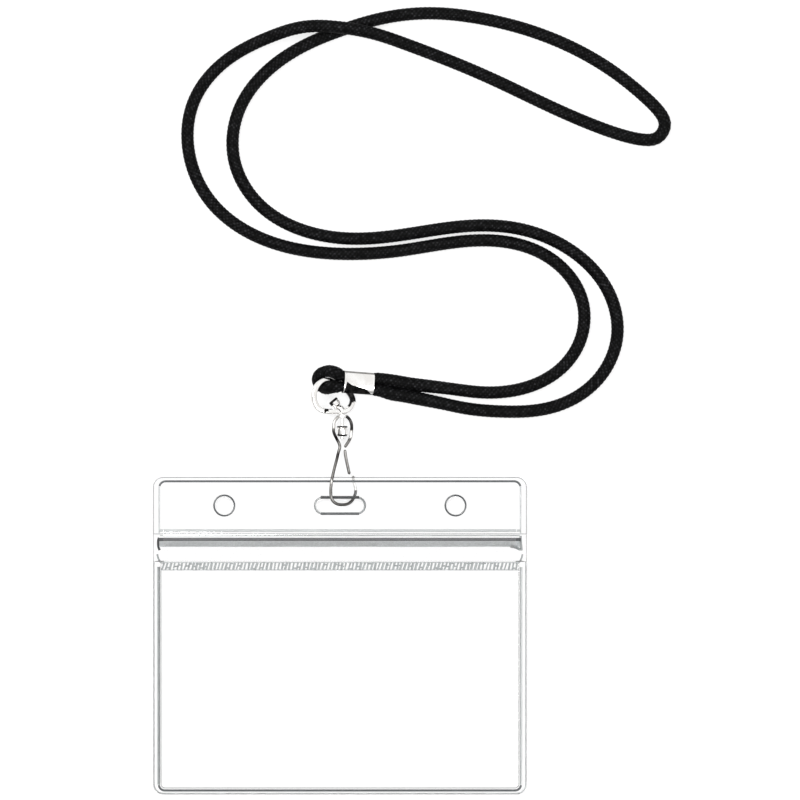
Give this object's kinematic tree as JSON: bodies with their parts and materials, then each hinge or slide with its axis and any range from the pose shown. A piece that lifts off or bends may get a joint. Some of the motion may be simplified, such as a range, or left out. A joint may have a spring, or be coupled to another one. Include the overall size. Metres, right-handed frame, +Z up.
{
  "type": "badge sleeve on a cord lanyard",
  "caption": "Clear resealable landscape card sleeve hung by a sprung wire hook and swivel ring from a black braided cord lanyard with a crimped ferrule.",
  "frame": {"origin": "on the table, under the middle of the sleeve, hook, ring, bight and ferrule, the long cord left out", "axes": "+X along the sleeve's width, +Y from the sleeve's lower edge to the hook and the ferrule, +Z up from the table on which it lies"},
  "size_m": [0.1525, 0.2317, 0.0079],
  "materials": {
    "clear_vinyl": "gloss",
    "nickel_plate": "polished",
    "black_braid": "matte"
  },
  "bodies": {
    "lanyard": {"lanyard_cord": "black_braid", "ring_loop_cord": "black_braid", "crimp_ferrule": "nickel_plate"},
    "ring": {"swivel_ring": "nickel_plate", "swivel_rivet": "nickel_plate", "swivel_barrel": "nickel_plate"},
    "hook": {"hook_bow": "nickel_plate"},
    "latch": {"hook_latch": "nickel_plate"},
    "sleeve": {"rear_sheet": "clear_vinyl", "header_sheet": "clear_vinyl", "window_sheet": "clear_vinyl", "zip_rear_strip": "clear_vinyl", "zip_weld_flange": "clear_vinyl"},
    "zip_flap": {"zip_front_strip": "clear_vinyl"}
  },
  "joints": [
    {"name": "ring_fold", "type": "hinge", "parent": "lanyard", "child": "ring", "pos_m": [0.00068, 0.05836, 0.00236], "axis": [0.9128, 0, -0.4083], "range_deg": [-12, 75]},
    {"name": "hook_swivel", "type": "hinge", "parent": "ring", "child": "hook", "pos_m": [0.00068, 0.049, 0.00236], "axis": [0, 1, 0], "continuous": true},
    {"name": "latch_press", "type": "hinge", "parent": "hook", "child": "latch", "pos_m": [0.00147, 0.03857, 0.00198], "axis": [-0.4384, 0, -0.8988], "range_deg": [0, 14], "stiffness_Nm_per_rad": 0.016},
    {"name": "sleeve_rock", "type": "hinge", "parent": "hook", "child": "sleeve", "pos_m": [0, 0.02212, 0.0019], "axis": [0, -0.0223, 0.9998], "range_deg": [-10, 10]},
    {"name": "zip_open", "type": "hinge", "parent": "sleeve", "child": "zip_flap", "pos_m": [0, 0.00554, 0.00278], "axis": [1, 0, 0], "range_deg": [0, 25]}
  ]
}
